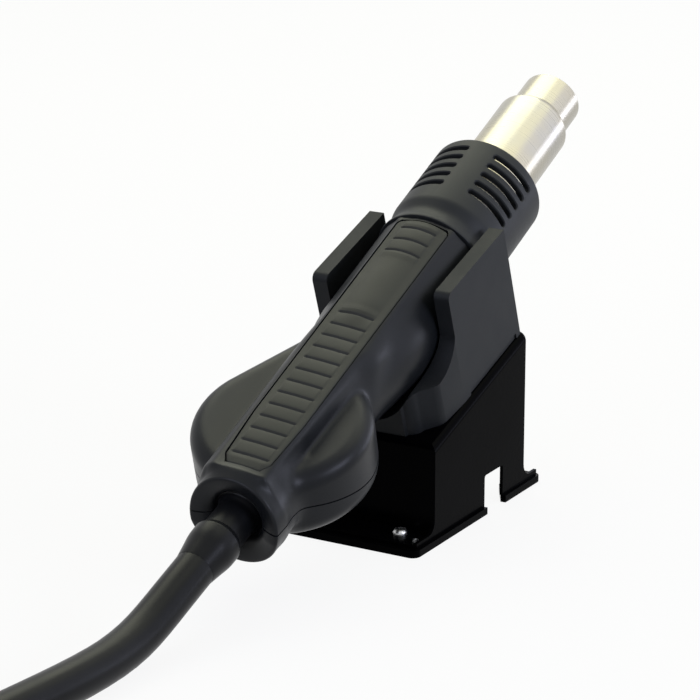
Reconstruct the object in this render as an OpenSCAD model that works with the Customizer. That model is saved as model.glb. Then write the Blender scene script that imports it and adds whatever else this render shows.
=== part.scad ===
// Hot air handpiece with its blower in the handle, resting in a plastic cradle
// on a folded steel bracket, with its lead and station plug.
// Millimetres. +Z is up and +Y is the way the nozzle points. The origin is on the
// standing surface, under the middle of the base plate.

/* [Base plate] */
// Width of the base plate
base_w = 58; // [56:0.5:70]
// Length of the base plate, front to back
base_l = 92; // [88:1:120]
// Thickness of the base plate
base_t = 2.5; // [1.5:0.1:4]
// Depth of the bar across its near end
base_bar = 18; // [15:0.5:26]
// Width of each side rail
base_rail = 8; // [5:0.5:12]
// Corner radius of the plate
base_corner = 3; // [1:0.5:5]

/* [Bracket] */
// Thickness of the folded sheet
sheet_t = 1.2; // [0.8:0.1:2]
// Width over the two side plates
bracket_w = 55.5; // [54:0.5:64]
// Place of the near wall, from the middle of the base
wall_y = -31; // [-34:0.5:-28]
// Length of the side plates
plate_l = 65.3; // [60:0.5:72]
// Height of the seat at the near wall
seat_z = 35; // [30:0.5:45]
// Slope of the seat
seat_slope = 19; // [12:0.5:24]
// Outside radius of the folds
fold_r = 3; // [2:0.25:4]
// Depth of the front flange
flange_d = 12.3; // [10:0.5:16]
// Height of the foot strip of each side plate
strip_h = 1.9; // [1.2:0.1:4]
// Width of the hook notch in each side
notch_w = 13.4; // [8:0.2:18]
// Height of the hook notch above the surface
notch_h = 13.7; // [8:0.5:18]
// Place of the hook notch
notch_y = 11.5; // [6:0.5:16]

/* [Cradle] */
// Width over the cradle's arms
cradle_w = 52.3; // [50:0.1:54]
// Height of the arms above the seat
arm_h = 42.5; // [38:0.5:50]
// Length of the arms along the seat
arm_l = 42; // [36:0.5:48]
// Length of the whole saddle along the seat
saddle_l = 66; // [60:0.5:67]
// Gap between the far edge of the seat and the cradle
cradle_back = 1.2; // [0:0.2:3]
// Diameter of the sensing magnet
magnet_d = 10; // [6:0.5:12]
// Thickness of the magnet
magnet_t = 3; // [2:0.25:4]

/* [Handpiece place] */
// Height of the handpiece's axis over the origin
axis_z = 84.7; // [82:0.5:90]
// Place of the collar seam along the base
axis_y = 20; // [18:0.5:22]
// Tilt of the handpiece
tilt = 24.2; // [22:0.2:25]
// Roll of the handpiece in its cradle
roll = 7.4; // [0:0.2:10]

/* [Handpiece shells] */
// Radius of the round grip
grip_r = 19.6; // [18.5:0.1:20]
// Wall of the moulded shells
shell_wall = 2.2; // [1.6:0.1:3]
// Radius of the blower housing
blower_r = 29.8; // [29.4:0.1:33]
// Place of the blower's axis behind the seam
blower_y = -103.5; // [-108:0.5:-100]
// Offset of the blower's axis to the left of the grip
blower_x = -4; // [-6:0.5:0]
// Top of the blower housing over the parting line
blower_top = 11.2; // [10.6:0.2:13]
// Underside of the blower housing
blower_bottom = 15; // [15:0.2:17]
// Half length of a grip groove
groove_half = 5.8; // [4:0.1:7]
// Spacing of the grip grooves
groove_pitch = 6; // [5:0.1:6.2]
// Number of grooves over the blower
rear_grooves = 13; // [6:1:13]

/* [Guard collar and tube] */
// Outside radius of the guard collar
collar_r = 20.8; // [20.2:0.1:22]
// Radius of its neck beside the seam
neck_r = 20.1; // [19:0.1:20.2]
// Place of the collar's front rim
collar_front = 40; // [38:0.5:46]
// Wall of the collar
collar_wall = 2.3; // [1.8:0.1:3]
// Width of a vent slot
slot_w = 2.3; // [1.5:0.1:3]
// Spacing of the vent slots
slot_pitch = 5.05; // [4.2:0.05:5.2]
// Angle that a row of slots spans
slot_span = 44; // [30:1:50]
// Number of slots in each row
slot_rows = 5; // [3:1:5]
// Radius of the steel tube
tube_r = 13.5; // [12.5:0.1:15]
// Wall of the steel tube
tube_wall = 0.6; // [0.4:0.1:1]
// Radius of the tip that nozzles clamp on
tip_r = 11; // [9:0.1:11.5]
// Length of the tip
tip_l = 14; // [10:0.5:18]
// Place of the tube's open end
tube_front = 95.1; // [90:0.5:105]

/* [Heater] */
// Radius of the heater winding
winding_r = 11.1; // [10.8:0.1:11.2]
// Diameter of the heater wire
wire_d = 1.1; // [0.8:0.1:1.2]
// Turns of the heater winding
winding_turns = 11; // [6:1:12]
// Radius of the ceramic core
core_r = 10.2; // [8:0.1:10.2]

/* [Fan] */
// Radius of the impeller
impeller_r = 18.5; // [17:0.5:18.5]
// Height of the impeller's blades
blade_h = 10; // [8:0.5:10]
// Number of impeller blades
blades = 20; // [12:1:26]
// Radius of the motor shaft
shaft_r = 1.5; // [1:0.1:2]
// Running clearance of the shaft in its bearing
shaft_gap = 0.03; // [0.02:0.01:0.08]

/* [Lead] */
// Diameter of the lead
lead_d = 13.2; // [10:0.2:13.4]
// Middle radius of the coiled lead
coil_r = 67; // [66:0.5:80]

/* [Hidden] */

// Clearance between pieces of one body, and between the two bodies
seat_gap = 0.3;
cradle_gap = 0.35;
fine = 64;
small = 32;

// Derived sizes of the holder
plate_y2 = wall_y + plate_l;
cradle_y = plate_y2 - cradle_back;
cradle_z = seat_z + (cradle_y - wall_y) * tan(seat_slope);
notch_r = 1;
screw_r = 1.5;
flange_screw_x = 17.2;
flange_screw_y = wall_y - 4.7;
stud_x = (bracket_w - 2 * sheet_t) / 2 - 1.3;
stud_y = -base_l / 2 + 6.2;
cradle_screw_y = [-12, -52];

// Axis of the handpiece seen from the seat of the cradle
seat_tilt = tilt - seat_slope;
axis_back = (axis_y - cradle_y) * cos(seat_slope) + (axis_z - cradle_z) * sin(seat_slope);
axis_up = (axis_z - cradle_z) * cos(seat_slope) - (axis_y - cradle_y) * sin(seat_slope);
channel_r = neck_r + cradle_gap;

// Derived sizes of the handpiece
seam_y = -4.7;
seam_gap = 0.5;
shell_front = seam_y - seam_gap;
cup_rear = -145;
cup_r = 16.4;
cup_q = 3.3;
boot_hole = 8.2;
ridge_w = 16.2;
inlay_z = 17.75;
inlay_rise = 0.5;
inlay_t = 1.5;
groove_w = 1.2;
groove_t = 0.7;
rim_top = 4.2;
rim_low = 7;
collar_bore = collar_r - collar_wall;
tube_bore = tube_r - tube_wall;
tube_rear = 9;
tube_step = tube_front - tip_l;
flange_r = collar_bore - seat_gap;
flange_t = 1.2;
mica_r = tube_bore - seat_gap;
mica_wall = 0.4;
core_l = 62;
core_y = tube_rear + flange_t + 1;
bolt_ring = 15.6;
fan_z = -blower_bottom + shell_wall + 1.9;
fan_top = 3.2;
hub_r = 10.6;
stator_r = 9.4;
bearing_r = 3.2;
board_z = 7.6;
grille_r = 17;
grille_t = 1.1;
collar_clock = 5.4;
post_r = 4;
post_places = [[11.5, -17], [-11.5, -17], [12.5, -62], [-12.5, -62]];
board_y = -55;
board_l = 32;
board_w = 24;
reed_l = 14;
loom_x = 2.2;
loom_y = cup_rear + 9;
loom_r = 2.6;

// Places a piece on the handpiece's axis
module in_hand() {
    translate([0, axis_y, axis_z]) rotate([tilt, 0, 0]) rotate([0, roll, 0]) children();
}

// Places a piece on the sloping seat, with the seat's far edge at the back
module on_seat() {
    translate([0, cradle_y, cradle_z]) rotate([seat_slope, 0, 0]) children();
}

// Turns a solid of revolution from +Z to lie along +Y
module along_y() {
    rotate([-90, 0, 0]) children();
}

// Points of an arc about a centre, from one angle to another
function arc(cx, cy, r, a1, a2, n = 8) =
    [for (i = [0:n]) [cx + r * cos(a1 + (a2 - a1) * i / n), cy + r * sin(a1 + (a2 - a1) * i / n)]];

// Plate with rounded corners
module round_plate(w, l, t, r) {
    linear_extrude(t) union() {
        square([w - 2 * r, l], center = true);
        square([w, l - 2 * r], center = true);
        for (x = [-1, 1]) for (y = [-1, 1])
            translate([x * (w / 2 - r), y * (l / 2 - r)]) circle(r, $fn = small);
    }
}

// Pan head screw, head up, with a cross recess
module pan_screw(head_r, head_h, r, l) {
    difference() {
        union() {
            rotate_extrude($fn = fine)
                polygon(concat([[0, 0], [head_r, 0]],
                    arc(head_r - head_h * 0.8, head_h * 0.2, head_h * 0.8, 0, 90, 5), [[0, head_h]]));
            translate([0, 0, -l]) cylinder(h = l + 0.01, r = r, $fn = small);
        }
        for (a = [0, 90]) rotate([0, 0, a])
            translate([-head_r * 0.5, -0.35, head_h * 0.45]) cube([head_r, 0.7, head_h]);
    }
}

// Plan of the base with its rails, before the notch parts it
module base_form() {
    difference() {
        round_plate(base_w, base_l, base_t, base_corner);
        translate([-(base_w / 2 - base_rail), -base_l / 2 + base_bar, -1])
            cube([base_w - 2 * base_rail, base_l, base_t + 2]);
    }
}

module base_plate() {
    color("#141416") difference() {
        base_form();
        translate([-base_w, notch_y - notch_w / 2, -1]) cube([2 * base_w, base_l, base_t + 2]);
        for (x = [-1, 1]) translate([x * flange_screw_x, flange_screw_y, -1])
            cylinder(h = base_t + 2, r = screw_r + 0.05, $fn = small);
    }
}

// Foot pads under the side plates, behind the hook notches
module rear_feet() {
    color("#141416") difference() {
        base_form();
        translate([-base_w, notch_y + notch_w / 2 - base_l, -1]) cube([2 * base_w, base_l, base_t + 2]);
    }
}

// Solid under the seat's outside or inside surface, over a given half width
module hat(inset) {
    half = bracket_w / 2 - inset;
    r = fold_r - inset;
    fold_z = seat_z - fold_r / cos(seat_slope) + fold_r * tan(seat_slope);
    intersection() {
        rotate([90, 0, 90]) translate([0, 0, -half]) linear_extrude(2 * half) polygon(concat(
            [[wall_y + inset, -1], [wall_y + inset, fold_z]],
            arc(wall_y + fold_r, fold_z, r, 180, 90 + seat_slope, 6),
            [[plate_y2 + 20 * (inset > 0 ? 1 : 0),
              seat_z - inset / cos(seat_slope)
                + (plate_l + 20 * (inset > 0 ? 1 : 0)) * tan(seat_slope)],
             [plate_y2 + 20 * (inset > 0 ? 1 : 0), -1]]));
        translate([0, wall_y, seat_z]) rotate([seat_slope, 0, 0])
            translate([0, 150, 0]) rotate([90, 0, 0]) linear_extrude(300) union() {
                translate([-half, -150]) square([2 * half, 150 - fold_r]);
                translate([-half + r, -20]) square([2 * (half - r), 20 - inset]);
                for (x = [-1, 1]) translate([x * (half - r), -fold_r]) circle(r, $fn = small);
            }
    }
}

module bracket() {
    color("#0f0f11") difference() {
        union() {
            intersection() {
                difference() {
                    hat(0);
                    hat(sheet_t);
                }
                translate([-50, -100, base_t]) cube([100, 200, 200]);
            }
            for (x = [-1, 1]) translate([x * (bracket_w - sheet_t) / 2 - sheet_t / 2, 0, 0])
                rotate([90, 0, 90]) linear_extrude(sheet_t) polygon(concat(
                    [[wall_y - flange_d, base_t], [wall_y - flange_d, base_t + strip_h]],
                    arc(wall_y - 4, base_t + strip_h + 4, 4, -90, 0, 6),
                    [[wall_y + 5, 20], [plate_y2 - 5, 20], [plate_y2, base_t + strip_h + 5]],
                    arc(plate_y2 + 5, base_t + strip_h + 5, 5, 180, 270, 6),
                    [[plate_y2 + 10, base_t + strip_h], [plate_y2 + 10, base_t]]));
            translate([-bracket_w / 2, wall_y - flange_d, base_t])
                cube([bracket_w, flange_d + sheet_t, sheet_t]);
        }
        translate([-base_w, notch_y - notch_w / 2, -1]) cube([2 * base_w, notch_w, notch_h + 1 - notch_r]);
        translate([-base_w, notch_y - notch_w / 2 + notch_r, 0])
            cube([2 * base_w, notch_w - 2 * notch_r, notch_h]);
        for (y = [-1, 1])
            translate([-base_w, notch_y + y * (notch_w / 2 - notch_r), notch_h - notch_r])
                rotate([0, 90, 0]) cylinder(h = 2 * base_w, r = notch_r, $fn = small);
        for (x = [-1, 1]) translate([x * flange_screw_x, flange_screw_y, 0])
            cylinder(h = 10, r = screw_r + 0.05, $fn = small);
        on_seat() for (y = cradle_screw_y) translate([0, y, -10])
            cylinder(h = 12, r = screw_r + 0.05, $fn = small);
    }
}

module flange_screws() {
    color("silver") for (x = [-1, 1])
        translate([x * flange_screw_x, flange_screw_y, base_t + sheet_t + 0.02])
            pan_screw(2.6, 1.9, screw_r, base_t + sheet_t - 0.3);
}

module corner_studs() {
    color("dimgray") for (x = [-1, 1]) translate([x * stud_x, stud_y, base_t + sheet_t])
        difference() {
            cylinder(h = 0.8, r = 1.1, $fn = small);
            translate([0, 0, 0.4]) cylinder(h = 1, r = 0.5, $fn = small);
        }
}

// Waste beside the saddle, from the arm's near edge round the nose
module saddle_waste() {
    h = cradle_w / 2;
    linear_extrude(arm_h) polygon(concat(
        [[h + 5, -arm_l - 0.6], [h, -arm_l - 0.6], [h - 1.2, -saddle_l + 10], [h - 5.2, -saddle_l + 6]],
        arc(h - 11, -saddle_l + 6, 5, -10, -80, 5), [[h - 11, -saddle_l - 0.5], [h + 5, -saddle_l - 5]]));
}

// Side view of the cradle: arms, concave sweep down to the saddle, low tongue
function cradle_side() = concat(
    [[0, 0], [0, arm_h]],
    arc(-arm_l + 2.6, arm_h - 2.6, 2.6, 90, 180, 5),
    arc(-arm_l - 15, 31, 15.8, -18, -80, 8),
    [[-saddle_l + 3, 15.5], [-saddle_l, 12.5], [-saddle_l, 0]]);

module cradle() {
    color("#26292c") on_seat() difference() {
        rotate([90, 0, 90]) translate([0, 0, -cradle_w / 2]) linear_extrude(cradle_w) polygon(cradle_side());
        for (x = [0, 1]) mirror([x, 0, 0]) translate([0, 0, -1]) saddle_waste();
        // Channel that the grip and the collar's neck lie in
        translate([0, axis_back, axis_up]) rotate([seat_tilt, 0, 0]) {
            translate([0, -100, 0]) along_y() cylinder(h = 160, r = channel_r, $fn = 2 * fine);
            translate([-channel_r - 0.05, -100, 0]) cube([2 * channel_r + 0.1, 160, 60]);
        }
        // Rebate along the foot
        for (x = [-1, 1]) translate([x * (cradle_w / 2) - 0.6, 4 - arm_l, -1])
            cube([1.2, arm_l - 7, 3]);
        // Screw pilots and the pocket of the magnet
        for (y = cradle_screw_y) translate([0, y, -1]) cylinder(h = 5.5, r = screw_r + 0.02, $fn = small);
        translate([0, -31, -1]) cylinder(h = 1 + magnet_t + 0.1, r = magnet_d / 2 + 0.1, $fn = small);
    }
}

module cradle_screws() {
    color("silver") on_seat() for (y = cradle_screw_y)
        translate([0, y, -sheet_t - 0.02]) rotate([180, 0, 0]) pan_screw(2.8, 1.8, screw_r, 5);
}

module cradle_magnet() {
    color("gainsboro") on_seat() translate([0, -31, 0.02])
        cylinder(h = magnet_t, r = magnet_d / 2, $fn = small);
}

// Closed skin through rings of n points each
module skin(rings) {
    n = len(rings[0]);
    m = len(rings);
    polyhedron(
        points = [for (r = rings) for (p = r) p],
        faces = concat(
            [for (k = [0:m - 2]) for (i = [0:n - 1]) [k * n + i, k * n + (i + 1) % n, (k + 1) * n + i]],
            [for (k = [0:m - 2]) for (i = [0:n - 1])
                [k * n + (i + 1) % n, (k + 1) * n + (i + 1) % n, (k + 1) * n + i]],
            [[for (i = [0:n - 1]) n - 1 - i]],
            [[for (i = [0:n - 1]) (m - 1) * n + i]]));
}

// Round grip with its taper towards the blower, on the handpiece's axis
module grip_form(inset, front) {
    along_y() rotate_extrude($fn = 2 * fine) polygon([
        [0, front], [grip_r - inset, front], [grip_r - inset, -50], [ridge_w - inset, -77],
        [11.5 - inset, -94], [0, -94]]);
}

// Ridge that carries the inlay from the seam over the blower to the cup
module ridge_form(inset, front, back) {
    on_top() translate([0, front, -inlay_z]) rotate([90, 0, 0]) linear_extrude(front - back) polygon([
        [-ridge_w + inset, -3], [-ridge_w + inset, 4], [-14.9 + inset, 9.6], [-10.6 + inset, 17 - inset],
        [-9.9 + inset, inlay_z - inset], [9.9 - inset, inlay_z - inset], [10.6 - inset, 17 - inset],
        [14.9 - inset, 9.6], [ridge_w - inset, 4], [ridge_w - inset, -3]]);
}

// Blower housing as a revolved profile with full rims
module blower_form(inset) {
    r = blower_r - inset;
    top = blower_top - inset;
    low = blower_bottom - inset;
    translate([blower_x, blower_y, 0]) rotate_extrude($fn = 2 * fine) polygon(concat(
        [[0, -low]], arc(r - rim_low, rim_low - low, rim_low, -90, -25, 5), [[r, -1.5], [r, 1.2]],
        arc(r - rim_top, top - rim_top, rim_top, 0, 90, 6), [[0, top]]));
}

// Pinched neck and round cup at the rear, centred over the parting line
module cup_form(inset, back) {
    r = cup_r - inset;
    translate([0, 0, cup_q]) along_y() rotate_extrude($fn = 2 * fine) polygon(concat(
        [[0, -118], [r - 3, -118], [r - 1.4, -133], [r, -137.5]],
        [for (a = [0:15:75]) [r - 2.4 + 2.4 * cos(a), back + 2.4 - 2.4 * sin(a)]], [[0, back]]));
}

module outer_form(up) {
    grip_form(0, shell_front);
    blower_form(0);
    cup_form(0, cup_rear);
    if (up) ridge_form(0, shell_front - 1.2, -140);
}

module inner_form(up) {
    grip_form(shell_wall, shell_front + 1);
    blower_form(shell_wall);
    cup_form(shell_wall, cup_rear + 5);
    if (up) ridge_form(shell_wall, shell_front - 3, -136);
}

// Opening at the rear of the cup: a flared mouth, a round seat and the boot's groove
module cup_mouth() {
    translate([0, 0, cup_q]) along_y() rotate_extrude($fn = fine) polygon([
        [0, cup_rear - 1], [12, cup_rear - 1], [10.2, cup_rear + 1.2], [boot_hole, cup_rear + 3.4],
        [boot_hole, cup_rear + 8], [0, cup_rear + 8]]);
}

// Space over or under the parting line
module half_space(up) {
    translate([-60, -200, up ? 0.05 : -60.05]) cube([120, 260, 60]);
}

module inlay_plan(grow, t) {
    linear_extrude(t) polygon([
        [-9.5 - grow, -6.6 + grow], [9.5 + grow, -6.6 + grow], [9.1 + grow, -110], [7.9 + grow, -130.5],
        [5.8 + grow, -134 - grow], [-5.8 - grow, -134 - grow], [-7.9 - grow, -130.5], [-9.1 - grow, -110]]);
}

module on_top() {
    translate([0, 0, inlay_z]) rotate([-inlay_rise, 0, 0]) children();
}

module upper_shell() {
    color("#2b2d2b") in_hand() difference() {
        intersection() {
            union() outer_form(true);
            half_space(true);
        }
        difference() {
            union() inner_form(true);
            for (p = post_places) translate([p[0], p[1], -1]) cylinder(h = 30, r = post_r, $fn = small);
        }
        cup_mouth();
        on_top() translate([0, 0, -inlay_t]) inlay_plan(0.45, 10);
        for (p = post_places) translate([p[0], p[1], -1]) cylinder(h = 8, r = 1.1, $fn = small);
    }
}

module grip_inlay() {
    color("#34362f") in_hand() difference() {
        intersection() {
            on_top() translate([0, 0, -inlay_t + 0.02]) inlay_plan(0, inlay_t + 3);
            union() {
                grip_form(0, shell_front);
                ridge_form(0, shell_front - 1.2, -140);
            }
        }
        difference() {
            on_top() union() {
                for (i = [0:2]) groove(-10.2 - i * 6.2);
                for (i = [0:rear_grooves - 1]) groove(-57 - i * groove_pitch);
            }
            grip_form(groove_t, shell_front + 1);
            ridge_form(groove_t, shell_front + 1, -141);
        }
    }
}

// Cross groove with round ends in the grip inlay
module groove(y) {
    translate([0, y, -1.2]) union() {
        translate([-groove_half, -groove_w / 2, 0]) cube([2 * groove_half, groove_w, 4]);
        for (x = [-1, 1]) translate([x * groove_half, 0, 0]) cylinder(h = 4, r = groove_w / 2, $fn = 16);
    }
}

module lower_shell() {
    color("#2b2d2b") in_hand() difference() {
        intersection() {
            union() outer_form(false);
            half_space(false);
        }
        difference() {
            union() inner_form(false);
            for (p = post_places) translate([p[0], p[1], -30]) cylinder(h = 31, r = post_r, $fn = small);
            for (x = [-1, 1]) translate([x * 9 - 0.75, board_y + 2, -25]) cube([1.5, board_l - 4, 25 - board_z - 0.02]);
        }
        cup_mouth();
        for (p = post_places) translate([p[0], p[1], -25]) {
            cylinder(h = 21, r = 2.7, $fn = small);
            cylinder(h = 40, r = 1.2, $fn = small);
        }
        translate([blower_x, blower_y, -blower_bottom - 5]) {
            cylinder(h = 5 + grille_t, r = grille_r + 0.2, $fn = fine);
            cylinder(h = 10, r = grille_r - 1.8, $fn = fine);
        }
    }
}

module shell_screws() {
    color("silver") in_hand() for (p = post_places)
        translate([p[0], p[1], -4.02]) rotate([180, 0, 0]) pan_screw(2.6, 1.7, 1.05, 10);
}

// Round grille with three rings of slots, set into the lower shell
module intake_grille() {
    color("#222426") in_hand() translate([blower_x, blower_y, -blower_bottom]) difference() {
        union() {
            cylinder(h = grille_t - 0.02, r = grille_r, $fn = fine);
            cylinder(h = grille_t + 1, r = grille_r - 2, $fn = fine);
        }
        for (ring = [[14, 20], [10.4, 14], [6.8, 8]]) for (i = [0:ring[1] - 1])
            rotate([0, 0, 360 * i / ring[1]]) translate([ring[0] - 2.8, -0.8, -1]) cube([2.8, 1.6, 5]);
    }
}

module guard_collar() {
    slot_first = collar_front - 5.4;
    color("#24272a") in_hand() difference() {
        rotate([0, collar_clock, 0]) slotted_collar(slot_first);
        translate([-10.6, shell_front - 7, inlay_z - inlay_t - seat_gap]) cube([21.2, 6.1, 6]);
    }
}

module slotted_collar(slot_first) {
    difference() {
        along_y() rotate_extrude($fn = 2 * fine) polygon(concat(
            [[grip_r - shell_wall - seat_gap, shell_front - 6], [grip_r - shell_wall - seat_gap, seam_y],
             [neck_r, seam_y], [neck_r, 4.6]],
            arc(neck_r + 2.2, 4.6, 2.2, 180, 130, 4), [[collar_r, 8.2]],
            arc(collar_r - 2, collar_front - 2, 2, 0, 80, 5),
            [[collar_bore, collar_front], [collar_bore, tube_rear],
             [collar_bore - 5.2, tube_rear], [collar_bore - 5.2, 3], [13.4, -1], [13.4, shell_front - 6]]));
        for (row = [0:slot_rows - 1]) for (side = [-1, 1]) for (turn = [0, 180])
            vent_slot(slot_first - row * slot_pitch, turn + side * (15.4 + 1.2 + slot_span / 2));
        for (a = [0:2]) rotate([0, 60 + 120 * a, 0]) translate([0, 2, bolt_ring]) along_y()
            cylinder(h = 20, r = 1.02, $fn = small);
    }
}

// Slot that runs round the collar over part of a turn
module vent_slot(y, middle) {
    rotate([0, middle, 0]) translate([0, y, 0]) along_y() translate([0, 0, -slot_w / 2])
        rotate([0, 0, -90 - slot_span / 2]) union() {
            rotate_extrude(angle = slot_span, $fn = fine)
                translate([collar_bore - 1, 0]) square([collar_wall + 3, slot_w]);
            for (a = [0, slot_span]) rotate([0, 0, a]) translate([collar_bore - 1, 0, slot_w / 2])
                rotate([0, 90, 0]) cylinder(h = collar_wall + 3, r = slot_w / 2, $fn = small);
        }
}

module heater_tube() {
    color("#b8b4a8") in_hand() along_y() rotate_extrude($fn = 2 * fine) polygon([
        [tube_r, tube_rear + flange_t], [tube_r, tube_step - 2.6], [tip_r, tube_step],
        [tip_r, tube_front], [tip_r - tube_wall, tube_front], [tip_r - tube_wall, tube_step - 0.3],
        [tube_bore, tube_step - 2.9], [tube_bore, tube_rear + flange_t]]);
}

module tube_flange() {
    color("#a8a8a8") in_hand() difference() {
        translate([0, tube_rear + 0.02, 0]) along_y() cylinder(h = flange_t - 0.04, r = flange_r, $fn = fine);
        translate([0, 0, 0]) along_y() cylinder(h = 30, r = 10.5, $fn = fine);
        for (a = [0:2]) rotate([0, 60 + 120 * a + collar_clock, 0]) translate([0, 2, bolt_ring]) along_y()
            cylinder(h = 20, r = 1.1, $fn = small);
    }
}

module flange_bolts() {
    color("silver") in_hand() for (a = [0:2]) rotate([0, 60 + 120 * a + collar_clock, 0])
        translate([0, tube_rear + flange_t, bolt_ring]) along_y() pan_screw(1.9, 1.4, 1, 6);
}

module mica_sleeve() {
    color("#c9b98a") in_hand() translate([0, tube_rear + flange_t + 0.3, 0]) along_y() difference() {
        cylinder(h = core_l, r = mica_r, $fn = fine);
        translate([0, 0, -1]) cylinder(h = core_l + 2, r = mica_r - mica_wall, $fn = fine);
    }
}

module heater_core() {
    color("#e6e0d2") in_hand() translate([0, core_y, 0]) along_y() difference() {
        union() {
            cylinder(h = core_l - 3, r = core_r, $fn = fine);
            cylinder(h = 2, r = mica_r - mica_wall - seat_gap, $fn = fine);
        }
        translate([0, 0, -1]) cylinder(h = core_l + 2, r = 1.2, $fn = small);
        for (a = [0:5]) rotate([0, 0, 60 * a]) translate([6, 0, -1])
            cylinder(h = core_l + 2, r = 2, $fn = small);
    }
}

// Point of the heater winding after a number of turns
function winding_point(t, r, pitch) = [r * sin(360 * t), t * pitch, r * cos(360 * t)];

// Round tube of n sides and radius r swept along a path
function unit(v) = v / norm(v);
function tangent(path, i) =
    unit(path[min(i + 1, len(path) - 1)] - path[max(i - 1, 0)]);
function sweep_ring(p, t, up, r, n) =
    let (side = unit(cross(t, up)), top = cross(side, t))
    [for (k = [0:n - 1]) p + r * (cos(360 * (k + 0.5) / n) * side + sin(360 * (k + 0.5) / n) * top)];
module swept(path, r, n, up = [0, 0, 1]) {
    last = len(path) - 1;
    skin([for (i = [0:last]) sweep_ring(path[last - i], tangent(path, last - i), up, r, n)]);
}
module swept_about(path, r, n) {
    last = len(path) - 1;
    skin([for (i = [0:last]) sweep_ring(path[last - i], tangent(path, last - i),
        unit([path[last - i][0], 0, path[last - i][2]]), r, n)]);
}

module heater_winding() {
    pitch = (core_l - 12) / winding_turns;
    path = [for (i = [0:24 * winding_turns]) winding_point(i / 24, winding_r, pitch)];
    color("#8d8578") in_hand() translate([0, core_y + 5, 0]) swept_about(path, wire_d / 2, 6);
}

module thermocouple() {
    color("#9b9b93") in_hand() translate([0, core_y - 6, 0]) along_y()
        cylinder(h = core_l + 6, r = 0.9, $fn = small);
}

module fan_cover() {
    color("#1d1f22") in_hand() translate([blower_x, blower_y, fan_z - 1.6]) difference() {
        cylinder(h = 1.4, r = impeller_r + 3.3, $fn = fine);
        translate([0, 0, -1]) cylinder(h = 4, r = impeller_r - 5, $fn = fine);
    }
}

// Radius of the scroll's inner wall as it opens towards the outlet
function scroll_r(a) = impeller_r + 1 + 4 * a / 360;

module fan_scroll() {
    color("#1d1f22") in_hand() translate([blower_x, blower_y, fan_z - 0.2]) difference() {
        union() {
            linear_extrude(fan_top - fan_z + 0.2) polygon(concat(
                [for (i = [0:40]) (scroll_r(i * 7) + 1.2) * [cos(130 + i * 7), sin(130 + i * 7)]],
                [for (i = [40:-1:0]) scroll_r(i * 7) * [cos(130 + i * 7), sin(130 + i * 7)]]));
            translate([0, 0, fan_top - fan_z - 1]) cylinder(h = 1.2, r = scroll_r(0), $fn = fine);
        }
        translate([0, 0, fan_top - fan_z - 2]) cylinder(h = 5, r = bearing_r + 0.02, $fn = small);
    }
}

module motor_stator() {
    color("#b06a3a") in_hand() translate([blower_x, blower_y, fan_top - 8.2]) difference() {
        union() {
            cylinder(h = 6.8, r = 5.2, $fn = fine);
            for (i = [0:5]) rotate([0, 0, 60 * i]) {
                translate([0, -1.3, 0.8]) cube([stator_r - 0.9, 2.6, 5.2]);
                intersection() {
                    cylinder(h = 6.8, r = stator_r, $fn = fine);
                    translate([stator_r - 1.6, -3.6, 0]) cube([3, 7.2, 6.8]);
                }
            }
        }
        translate([0, 0, -1]) cylinder(h = 12, r = bearing_r + 0.02, $fn = small);
    }
}

module shaft_bearing() {
    color("#c8a050") in_hand() translate([blower_x, blower_y, fan_top - 8.8]) difference() {
        cylinder(h = 10, r = bearing_r, $fn = small);
        translate([0, 0, -1]) cylinder(h = 12, r = shaft_r + shaft_gap, $fn = small);
    }
}

// Plan of one curved blade from the hub to the rim
module blade_plan() {
    inner = hub_r + 1.3;
    step = (impeller_r - 0.3 - inner) / 5;
    polygon(concat(
        [for (i = [0:5]) let (r = inner + i * step, a = 4.4 * i) r * [cos(a), sin(a)]],
        [for (i = [5:-1:0]) let (r = inner + i * step, a = 4.4 * i + 3.4) r * [cos(a), sin(a)]]));
}

module impeller() {
    color("#2f3236") in_hand() translate([blower_x, blower_y, 0]) difference() {
        union() {
            translate([0, 0, fan_z + 0.6]) linear_extrude(blade_h) for (i = [0:blades - 1])
                rotate([0, 0, 360 * i / blades]) blade_plan();
            translate([0, 0, fan_z + 0.6]) linear_extrude(1) difference() {
                circle(impeller_r, $fn = fine);
                circle(impeller_r - 2, $fn = fine);
            }
            translate([0, 0, fan_z + blade_h - 0.2]) cylinder(h = 1, r = impeller_r - 0.2, $fn = fine);
            translate([0, 0, fan_top - 10.6]) cylinder(h = 8.6, r = hub_r + 1.2, $fn = fine);
        }
        translate([0, 0, fan_top - 9.6]) cylinder(h = 20, r = hub_r - 0.4, $fn = fine);
        translate([0, 0, -20]) cylinder(h = 30, r = shaft_r, $fn = small);
    }
}

module motor_shaft() {
    color("silver") in_hand() translate([blower_x, blower_y, fan_top - 10.6])
        cylinder(h = 11.6, r = shaft_r, $fn = small);
}

module control_board() {
    color("#2c5a3a") in_hand() translate([0, board_y, -board_z]) union() {
        translate([-board_w / 2, 0, 0]) cube([board_w, board_l, 1.6]);
        translate([-9, 3, 1.59]) cube([8, 6, 5]);
        translate([2, 4, 1.59]) cube([7, 9, 2.4]);
        translate([-8, 15, 1.59]) cube([10, 8, 1.4]);
        translate([7, 20, 1.59]) cylinder(h = 7, r = 2.6, $fn = small);
        translate([-9, 25, 1.59]) cube([14, 4, 6.5]);
    }
}

module reed_switch() {
    color("#d8e4dc") in_hand() translate([-reed_l / 2, board_y + 14, -board_z - 1.25]) rotate([0, 90, 0])
        cylinder(h = reed_l, r = 1.2, $fn = small);
}

module wire_loom() {
    color("#7a1f1f") in_hand() translate([loom_x, loom_y, fan_top + loom_r + 0.3]) along_y()
        cylinder(h = board_y + board_l * 0.4 - loom_y, r = loom_r, $fn = small);
}

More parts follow.
